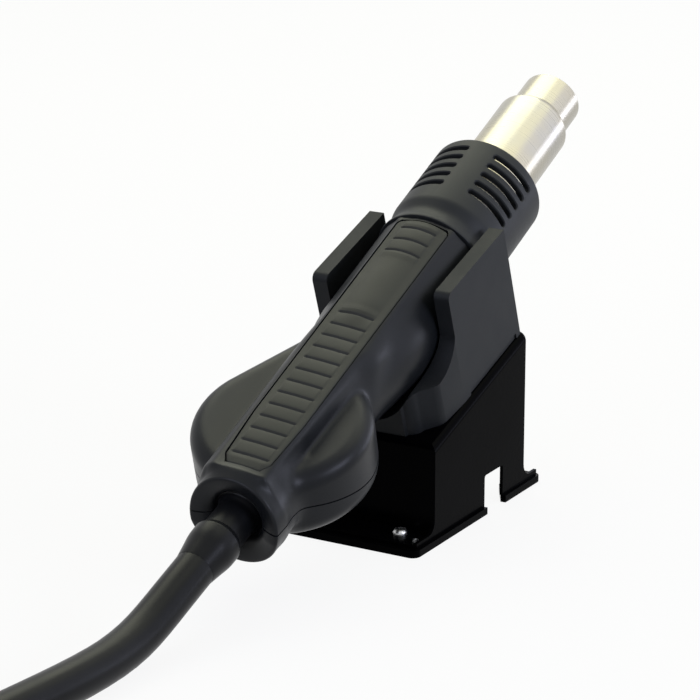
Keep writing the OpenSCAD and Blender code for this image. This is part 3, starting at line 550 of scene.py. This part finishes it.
# Distance along each direction from the parting line's middle to where the form ends
def reachOf(dx, y, dz, inset, base):
    least, most, step, halvings = 2.0, 46.0, 1.0, 14
    low = np.full(dx.shape, least)
    high = np.full(dx.shape, least)
    found = np.zeros(dx.shape, bool)
    for reach in np.arange(most, least, -step):
        inside = handForm(dx * reach, y, base + dz * reach) < -inset
        low = np.where(inside & ~found, reach, low)
        high = np.where(inside & ~found, reach + step, high)
        found |= inside
    for _ in range(halvings):
        middle = (low + high) / 2
        inside = handForm(dx * middle, y, base + dz * middle) < -inset
        low = np.where(inside, middle, low)
        high = np.where(inside, high, middle)
    return (low + high) / 2


def stripHalf(y):
    return float(np.interp(-y, stripLook["widthRun"], stripLook["half"]))


def ridgeHeight(y):
    return ridgeLook["top"] - ridgeLook["rise"] * y


# The inlay lies on the flat ridge, and on the round grip where that stands higher
def stripTop(y, x):
    flat = ridgeHeight(y)
    radius = float(gripRadius(y))
    crown = math.sqrt(max(1.0, radius * radius - x * x))
    return flat + 0.5 * (crown - flat + math.hypot(crown - flat, 0.35)) if crown > flat - 2 else flat


# Each ring of a shell's skin, with whether the inlay's bed runs through it
def ringPlaces():
    front = stripLook["front"] + stripLook["gap"]
    rear = stripLook["rear"] - stripLook["gap"]
    count = round((front - rear) / shellLook["spacing"])
    places = [(shellLook["front"], False), (shellLook["front"] - 0.15, False)]
    places += [(front + 0.02, False), (front, True)]
    places += [(-7.0, True), (-7.8, True), (-8.8, True)]
    places += [(front + (rear - front) * i / count, True) for i in range(3, count)]
    places += [(rear, True), (rear - 0.02, False)]
    places += [(-135 - i * 0.9, False) for i in range(9)]
    return places


# Radius and place of each ring from the cup's side round its lip into its funnel
def cupLip():
    roll = shellLook["cupRoll"]
    side = shellLook["cup"] - roll
    end = shellLook["cupRear"]
    lip = [(side + roll * math.cos(math.radians(a)), end + roll - roll * math.sin(math.radians(a)))
           for a in (0, 15, 30, 45, 60, 75, 90)]
    return lip + [(r, end + deep) for r, deep in shellLook["funnel"]]


def halfShell(upper):
    outer = []
    inner = []
    places = ringPlaces()
    nearParting = math.radians(0.9)
    for y, inStrip in places:
        base = partingHeight(y)
        if upper:
            w = stripHalf(y) + stripLook["gap"]
            top = stripTop(y, w)
            corner = math.atan2(top - base, w)
            flank = [corner * (i / 40) for i in range(41)]
            flank[1] = nearParting
            lane = [w - 0.03, w * 0.66, w * 0.33]
            lane = lane + [0.0] + [-v for v in reversed(lane)]
            angles = flank + [math.atan2(top - base, v) for v in lane]
            angles += [math.pi - a for a in reversed(flank)]
        else:
            angles = [-math.pi * i / 88 for i in range(89)]
            angles[1] = -nearParting
            angles[-2] = -math.pi + nearParting
        dx = np.cos(angles)
        dz = np.sin(angles)
        out = reachOf(dx, y, dz, 0.0, base)
        ring = [[dx[i] * out[i], y, base + dz[i] * out[i]] for i in range(len(angles))]
        if upper and inStrip:
            for i, v in enumerate(lane):
                ring[len(flank) + i] = [v, y, ridgeHeight(y) - stripLook["depth"]]
        outer.append(ring)
        deep = reachOf(dx, max(y, shellLook["cupInside"] + 0.1), dz, shellLook["wall"], base)
        inner.append([[dx[i] * deep[i], max(y, shellLook["cupInside"]), base + dz[i] * deep[i]]
                      for i in range(len(angles))])
    for r, y in cupLip():
        base = partingHeight(y)
        height = shellLook["cupHeight"] - base
        reach = dz * height + np.sqrt(np.maximum(r * r - (dx * height) ** 2, 0.01))
        outer.append([[dx[i] * reach[i], y, base + dz[i] * reach[i]] for i in range(len(angles))])
    for ring in outer:
        for point in ring:
            point[1] += shellLook["mouthSlant"] * max(0.0, point[2]) * float(eased(-point[1], 134, 143))
    inner = [ring for ring, (y, _) in zip(inner, places) if y > shellLook["cupInside"] + 1.1]
    sign = 1 if upper else -1
    for ring in outer + inner:
        for i in (0, -1):
            ring[i][2] = ring[i][2] + sign * shellLook["partingGap"]
    rings = outer + inner[::-1]
    n = len(angles)
    m = len(rings)
    points = [point for ring in rings for point in ring]
    faces = [(k * n + i, k * n + i + 1, (k + 1) % m * n + i + 1, (k + 1) % m * n + i)
             for k in range(m) for i in range(n - 1)]
    # Edges along the parting line, between the outer and the inner skin
    for i in (0, n - 1):
        for k in range(len(inner) - 1):
            a = m - 1 - k
            faces.append((k * n + i, (k + 1) * n + i, (a - 1) * n + i, a * n + i))
        faces.append(tuple(k * n + i for k in range(len(inner) - 1, len(outer) + 1)))
    return points, faces


points, faces = halfShell(True)
topShell = addPiece("topShell", points, faces, shellPlastic, "handpiece", ("upper_shell",), edge=34)

points, faces = halfShell(False)
lowShell = addPiece("lowShell", points, faces, shellPlastic, "handpiece", ("lower_shell",), edge=34)
low = -shellLook["discLow"]
wideHole, innerHole = shellLook["inlet"]
step = low + shellLook["inletStep"]
inletCutter = steppedPlug(shellLook["discX"], shellLook["discY"], [
    (low - 3, wideHole), (step, wideHole), (step, innerHole), (low + 4.0, innerHole)], 96)
screwCutters = [steppedPlug(x, y, [(-24, shellLook["screwHole"]), (-9.0, shellLook["screwHole"])], 48)
                for x, y in shellLook["screws"]]
cutAway(lowShell, *joined([inletCutter] + screwCutters), edge=34)
print("shells made", len(topShell.data.polygons), len(lowShell.data.polygons))


# Grip inlay: grooves across it, with a low rib between each two

def grooveDip(x, y):
    look = stripLook
    dip = 0.0
    land = 0.0
    for place in look["grooves"]:
        near = abs(y - place)
        if near < look["grooveReach"]:
            across = 1 - min(1, max(0, (abs(x) - look["grooveHalf"]) / 0.7)) ** 2
            dip = max(dip, math.exp(-(near / look["grooveWidth"]) ** 4) * max(0.0, across))
            rib = min(1.0, max(0.0, (look["ribHalf"] - abs(x)) / look["ribFade"]))
            rib = rib * rib * (3 - 2 * rib)
            land = max(land, look["ribHeight"] * math.sin(math.pi * min(1.0, near / 3.0) * 0.5) * rib)
    return land - look["grooveDepth"] * dip


def inlayPoints():
    look = stripLook
    rows = {look["front"], look["rear"]}
    nearGroove = (0, 0.3, 0.5, 0.65, 0.8, 1.0, 1.6)
    for place in look["grooves"]:
        rows |= {place + d for d in nearGroove} | {place - d for d in nearGroove}
    rows |= {-25.0 - 1.5 * i for i in range(21)}  # the plain part
    rows |= {-6.8, -7.0, -7.4, -7.8, -8.8, -110.0, -130.5, -131.6, -132.8, -133.2, -133.7}  # its rounded ends
    across = [0, 1.5, 3.0, 4.4, 5.2, 5.6, 5.85, 6.1, 6.35, 6.6, 7.0]
    drop = [0] * len(across) + [0, 0.06, 0.2, 0.45, look["skirt"]]
    points = []
    for y in sorted(rows, reverse=True):
        half = stripHalf(y)
        scale = min(1.0, (half - 0.6) / 7.6)
        lanes = [v * scale for v in across] + [half - 0.55, half - 0.28, half - 0.1, half, half]
        ends = min(abs(y - look["front"]), abs(y - look["rear"]))
        roll = 0.4 * max(0.0, 1 - ends / 0.6) ** 2
        side = [(v, stripTop(y, v) + look["crown"] * (1 - (v / half) ** 2) - d - (roll if d < 1 else 0)
                 + (grooveDip(v, y) if d < 0.05 else 0)) for v, d in zip(lanes, drop)]
        side[-1] = (half, ridgeHeight(y) - look["skirt"])
        points.append([(-v, y, h) for v, h in reversed(side[1:])] + [(v, y, h) for v, h in side])
    return points


rows = inlayPoints()
n = len(rows[0])
points = [p for row in rows for p in row]
faces = [(k * n + i, k * n + i + 1, (k + 1) * n + i + 1, (k + 1) * n + i)
         for k in range(len(rows) - 1) for i in range(n - 1)]
faces += [(k * n, (k + 1) * n, (k + 1) * n + n - 1, k * n + n - 1) for k in range(len(rows) - 1)]
faces += [tuple(range(n)), tuple(range((len(rows) - 1) * n, len(rows) * n))]
inlay = addPiece("gripInlay", points, faces, inlayRubber, "handpiece", ("grip_inlay",), edge=50)
print("inlay made", len(inlay.data.polygons))


# Guard collar and air tube

collarLook = {
    "outer": 20.8, "bore": 18.5, "front": 40.0, "neck": 20.6, "dip": 19.0, "spigot": 17.1, "tubeSeat": 13.3,
    "slotWidth": 2.3, "slotSpan": 44.0, "firstSlot": 34.6, "pitch": 5.05, "rows": 5, "clock": 5.4,
    "land": 16.6, "chamfer": 0.3}


# Round-ended slot bent round the collar, wider at the surface
def slotCutter(middle, y):
    look = collarLook
    half = math.radians(look["slotSpan"] / 2)
    levels = [(17.2, 0.0), (20.45, 0.0), (look["outer"], look["chamfer"]), (21.4, look["chamfer"] + 0.5)]
    r = look["slotWidth"] / 2
    ladder = [(-half * look["outer"] - r * math.cos(math.radians(a)), r * math.sin(math.radians(a)))
              for a in (8, 25, 45, 65, 90)]
    ladder += [(look["outer"] * half * t, r) for t in (-0.8, -0.6, -0.4, -0.2, 0, 0.2, 0.4, 0.6, 0.8)]
    ladder += [(-u, v) for u, v in reversed(ladder[:5])]
    points = []
    for reach, grow in levels:
        for u, v in ladder:
            push = grow * math.copysign(min(1.0, abs(u) / (half * look["outer"])) ** 8, u)
            for sign in (1, -1):
                a = math.radians(middle) + (u + push) / look["outer"]
                points.append((reach * math.sin(a), y + sign * (v + grow * v / r), reach * math.cos(a)))
    n = len(ladder)
    faces = []
    for level in range(len(levels)):
        base = level * 2 * n
        if level in (0, len(levels) - 1):
            faces += [(a, a + 2, a + 3, a + 1) for a in range(base, base + 2 * (n - 1), 2)]
        if level < len(levels) - 1:
            up = 2 * n
            for a in range(base, base + 2 * (n - 1)):
                faces.append((a, a + 2, a + up + 2, a + up))
            for a in (base, base + 2 * (n - 1)):
                faces.append((a, a + 1, a + up + 1, a + up))
    return points, faces


neck, dip, outer, bore, front, spigot, seat = [collarLook[name] for name in (
    "neck", "dip", "outer", "bore", "front", "spigot", "tubeSeat")]
collarProfile = softProfile([
    (spigot, -11.2, 0.3), (spigot, -4.7, 0.2), (neck, -4.7, 0.35), (neck, -3.9, 0.8), (dip, 0.9, 2.4),
    (outer, 5.8, 1.2), (outer, front, 1.9), (bore, front, 0.4), (bore, 9.0, 0.4), (seat, 9.0, 0.3),
    (seat, 3.0, 0.5), (13.4, -1.0, 0), (13.4, -11.2, 0.2)], 5)
points, faces, uvs = lathe(collarProfile, 192)
collar = addPiece("guardCollar", points, faces, collarPlastic, "handpiece", ("guard_collar",), edge=32)
slotTurn = collarLook["land"] + collarLook["slotSpan"] / 2
slotCutters = [slotCutter(turn + side * slotTurn + collarLook["clock"],
                          collarLook["firstSlot"] - row * collarLook["pitch"])
               for row in range(collarLook["rows"]) for side in (-1, 1) for turn in (0, 180)]
cutAway(collar, *joined(slotCutters), edge=32)

tubeLook = {"radius": 13.5, "wall": 0.6, "tip": 11.0, "rear": 10.2, "step": 81.1, "front": 95.1,
            "stepLength": 2.7}
radius, wall, tip, rear, step, front = [tubeLook[name] for name in (
    "radius", "wall", "tip", "rear", "step", "front")]
shoulder = step - tubeLook["stepLength"]
tubeProfile = softProfile([
    (radius, rear, 0), (radius, shoulder, 0.9), (tip, step, 0.7), (tip, front, 0.3), (tip - wall, front, 0.3),
    (tip - wall, step - 0.3, 0.6), (radius - wall, shoulder - 0.2, 0.8), (radius - wall, rear, 0)], 5)
points, faces, uvs = lathe(tubeProfile, 160)
tube = addPiece("airTube", points, faces, satinSteel, "handpiece", ("heater_tube",), edge=40, uvs=uvs)
print("collar and tube made", len(collar.data.polygons))


# Holder: the frame's own solids with their edges rounded off

holderLook = {"cradleEdge": 0.7, "sheetEdge": 0.22, "merge": 0.004, "flat": 0.6,
              # Bend of the cradle's sides: rounding, place from the middle, and least length of its edges
              "waistEdge": 3.2, "waistHalf": 25.0, "waistLeast": 12.0,
              # Slanted corner of each foot pad beside the hook notch: place and length
              "padCorner": (27.6, 17.2), "padCut": (7.59, 13.2)}


# Upright edges where the cradle's sides bend by about 40 degrees
def waistEdges(bm):
    bends = []
    for edge in bm.edges:
        first, last = [vert.co.x / mm for vert in edge.verts]
        level = abs(first - last) < 0.1 and abs(abs(first) - holderLook["waistHalf"]) < 0.15
        if level and len(edge.link_faces) == 2 and edge.calc_length() > holderLook["waistLeast"] * mm:
            if 35 < math.degrees(edge.calc_face_angle()) < 45:
                bends.append(edge)
    return bends


def roundedCopy(node, name, material, width, waist=0.0):
    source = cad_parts[node]
    bm = bmesh.new()
    bm.from_mesh(source.data)
    bm.transform(source.matrix_world)
    bmesh.ops.remove_doubles(bm, verts=bm.verts, dist=holderLook["merge"] * mm)
    bmesh.ops.dissolve_limit(bm, angle_limit=math.radians(holderLook["flat"]), verts=bm.verts, edges=bm.edges)
    if waist:
        bends = waistEdges(bm)
        bmesh.ops.bevel(bm, geom=bends, offset=waist * mm, segments=7, profile=0.5, affect="EDGES",
                        clamp_overlap=True)
        print("waist edges rounded", len(bends))
    mesh = bpy.data.meshes.new(name)
    bm.to_mesh(mesh)
    bm.free()
    piece = bpy.data.objects.new(name, mesh)
    scene.collection.objects.link(piece)
    mesh.materials.clear()
    mesh.materials.append(material)
    bevel = piece.modifiers.new("edge", "BEVEL")
    bevel.width = width * mm
    bevel.segments = 2
    bevel.limit_method = "ANGLE"
    bevel.angle_limit = math.radians(32)
    bevel.use_clamp_overlap = True
    applyModifiers(piece)
    smoothen(piece.data, 40)
    weigh = piece.modifiers.new("weigh", "WEIGHTED_NORMAL")
    weigh.keep_sharp = True
    applyModifiers(piece)
    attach(piece, "holder")
    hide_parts(node)
    return piece


cradlePiece = roundedCopy("cradle", "cradleMoulding", cradlePlastic, holderLook["cradleEdge"],
                          holderLook["waistEdge"])
for node, name in (("bracket", "foldedBracket"), ("base_plate", "basePlate"), ("rear_feet", "rearFeet")):
    sheet = roundedCopy(node, name, blackPaint, holderLook["sheetEdge"])
    if node == "rear_feet":
        x, y = holderLook["padCorner"]
        inward, along = holderLook["padCut"]
        corners = [(x, y), (x - inward, y), (x - inward, y + along)]
        wedges = [([(side * u, v, z) for z in (-1, 3.5) for u, v in corners],
                   [(0, 1, 2), (3, 4, 5), (0, 1, 4, 3), (1, 2, 5, 4), (2, 0, 3, 5)]) for side in (-1, 1)]
        cutAway(sheet, *joined(wedges), place=plainFrame, edge=40)
print("holder made")

# The frame's own solids, those that pieces stand for as well
for material, nodes in (
        (blackPaint, ("base_plate", "rear_feet", "bracket")), (cradlePlastic, ("cradle",)),
        (screwSteel, ("flange_screws", "corner_studs", "cradle_screws", "shell_screws", "heater_tube",
                      "tube_flange", "flange_bolts", "thermocouple", "motor_shaft")),
        (shellPlastic, ("upper_shell", "lower_shell")), (inlayRubber, ("grip_inlay",)),
        (collarPlastic, ("guard_collar",)), (nickel, ("cradle_magnet", "plug_body", "plug_nut")),
        (innerPlastic, ("intake_grille", "fan_cover", "fan_scroll", "impeller", "plug_insert")),
        (mica, ("mica_sleeve",)), (ceramic, ("heater_core",)), (heaterWire, ("heater_winding",)),
        (copperWire, ("motor_stator",)), (bronze, ("shaft_bearing",)), (boardLaminate, ("control_board",)),
        (reedGlass, ("reed_switch",)), (loomSleeve, ("wire_loom",)), (strapFabric, ("coil_tie",)),
        (leadRubber, ("plug_boot",))):
    for node in nodes:
        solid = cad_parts[node]
        solid.data.materials.clear()
        solid.data.materials.append(material)
print("CAD nodes painted")


# Studio

studioLook = {
    "floor": ("#5c5c5b", "#646463"), "fibre": 3.333, "floorHalf": 6.0, "glow": 0.9, "sky": 0.05,
    "warm": "#f2f4d8", "cool": "#d6dbf4", "aim": (0, 0, 0.07),
    # name, place, size in metres, watts and tint of each softbox
    "boxes": [("keyBox", (-0.52, 0.72, 1.27), (1.2, 0.95), 13.6, "warm"),
              ("topBox", (0.45, 0.55, 1.3), (0.8, 0.9), 3.6, "warm"),
              ("slopeBox", (1.05, 0.8, 0.8), (0.8, 0.8), 2.3, "cool"),
              ("lowBox", (0.85, 1.2, 0.12), (1.0, 0.35), 5.0, "cool"),
              ("rightBox", (1.4, -0.16, 0.56), (0.5, 0.4), 10.0, "cool"),
              ("frontBox", (-0.3, -1.5, 0.8), (1.2, 0.8), 10.5, "cool"),
              ("backBox", (-0.3, 1.5, 0.55), (1.0, 0.5), 1.6, "cool")]}


# 1 for the rays of camera, mirror and glass, which see white, and 0 for the rays that light the object
def seenRays(holder):
    path = addNode(holder, "ShaderNodeLightPath")
    mirror = addNode(holder, "ShaderNodeMath", operation="ADD", use_clamp=True,
                     links={0: path.outputs["Is Camera Ray"], 1: path.outputs["Is Glossy Ray"]})
    glass = addNode(holder, "ShaderNodeMath", operation="ADD", use_clamp=True,
                    links={0: mirror.outputs[0], 1: path.outputs["Is Transmission Ray"]})
    return glass.outputs[0]


reach = studioLook["floorHalf"]
floorMesh = bpy.data.meshes.new("floor")
floorMesh.from_pydata([(-reach, -reach, 0), (reach, -reach, 0), (reach, reach, 0), (-reach, reach, 0)], [],
                      [(0, 1, 2, 3)])
floor = bpy.data.objects.new("floor", floorMesh)
scene.collection.objects.link(floor)

# White for the rays that see it, grey for the light that it gives back to the object
paper = addMaterial("white studio paper, pressed")
seenPaper = seenRays(paper)
fibres = addNode(paper, "ShaderNodeTexNoise", sockets={"Scale": scaleOf(studioLook["fibre"])})
paperTone = addNode(paper, "ShaderNodeMix", data_type="RGBA", links={0: fibres.outputs["Fac"]},
                    sockets={6: srgb(studioLook["floor"][0]), 7: srgb(studioLook["floor"][1])})
paperWhite = addNode(paper, "ShaderNodeMix", data_type="RGBA", sockets={7: srgb("#ffffff")},
                     links={0: seenPaper, 6: paperTone.outputs[2]})
paperShade = addNode(paper, "ShaderNodeBsdfDiffuse", links={"Color": paperWhite.outputs[2]})
paperGlow = addNode(paper, "ShaderNodeEmission", sockets={"Color": srgb("#ffffff"), "Strength": 1.0})
shareOfGlow = addNode(paper, "ShaderNodeMath", operation="MULTIPLY", links={0: seenPaper},
                      sockets={1: studioLook["glow"]})
paperMix = addNode(paper, "ShaderNodeMixShader", links={
    0: shareOfGlow.outputs[0], 1: paperShade.outputs[0], 2: paperGlow.outputs[0]})
addNode(paper, "ShaderNodeOutputMaterial", links={"Surface": paperMix.outputs[0]})
floorMesh.materials.append(paper)

sky = bpy.data.worlds.new("studio")
sky.use_nodes = True
scene.world = sky
skyStrength = addNode(sky, "ShaderNodeMapRange", links={"Value": seenRays(sky)},
                      sockets={"To Min": studioLook["sky"], "To Max": 1.0})
skyLight = sky.node_tree.nodes["Background"]
skyLight.inputs["Color"].default_value = srgb("#ffffff")
sky.node_tree.links.new(skyStrength.outputs["Result"], skyLight.inputs["Strength"])

for name, place, size, power, tint in studioLook["boxes"]:
    light = bpy.data.objects.new(name, bpy.data.lights.new(name, "AREA"))
    light.data.shape = "RECTANGLE"
    light.data.size = size[0]
    light.data.size_y = size[1]
    light.data.energy = power
    light.data.color = srgb(studioLook[tint])[:3]
    light.visible_camera = False
    light.location = place
    light.rotation_euler = (Vector(studioLook["aim"]) - Vector(place)).to_track_quat("-Z", "Y").to_euler()
    scene.collection.objects.link(light)
scene.view_settings.view_transform = "Standard"
print("studio lit")
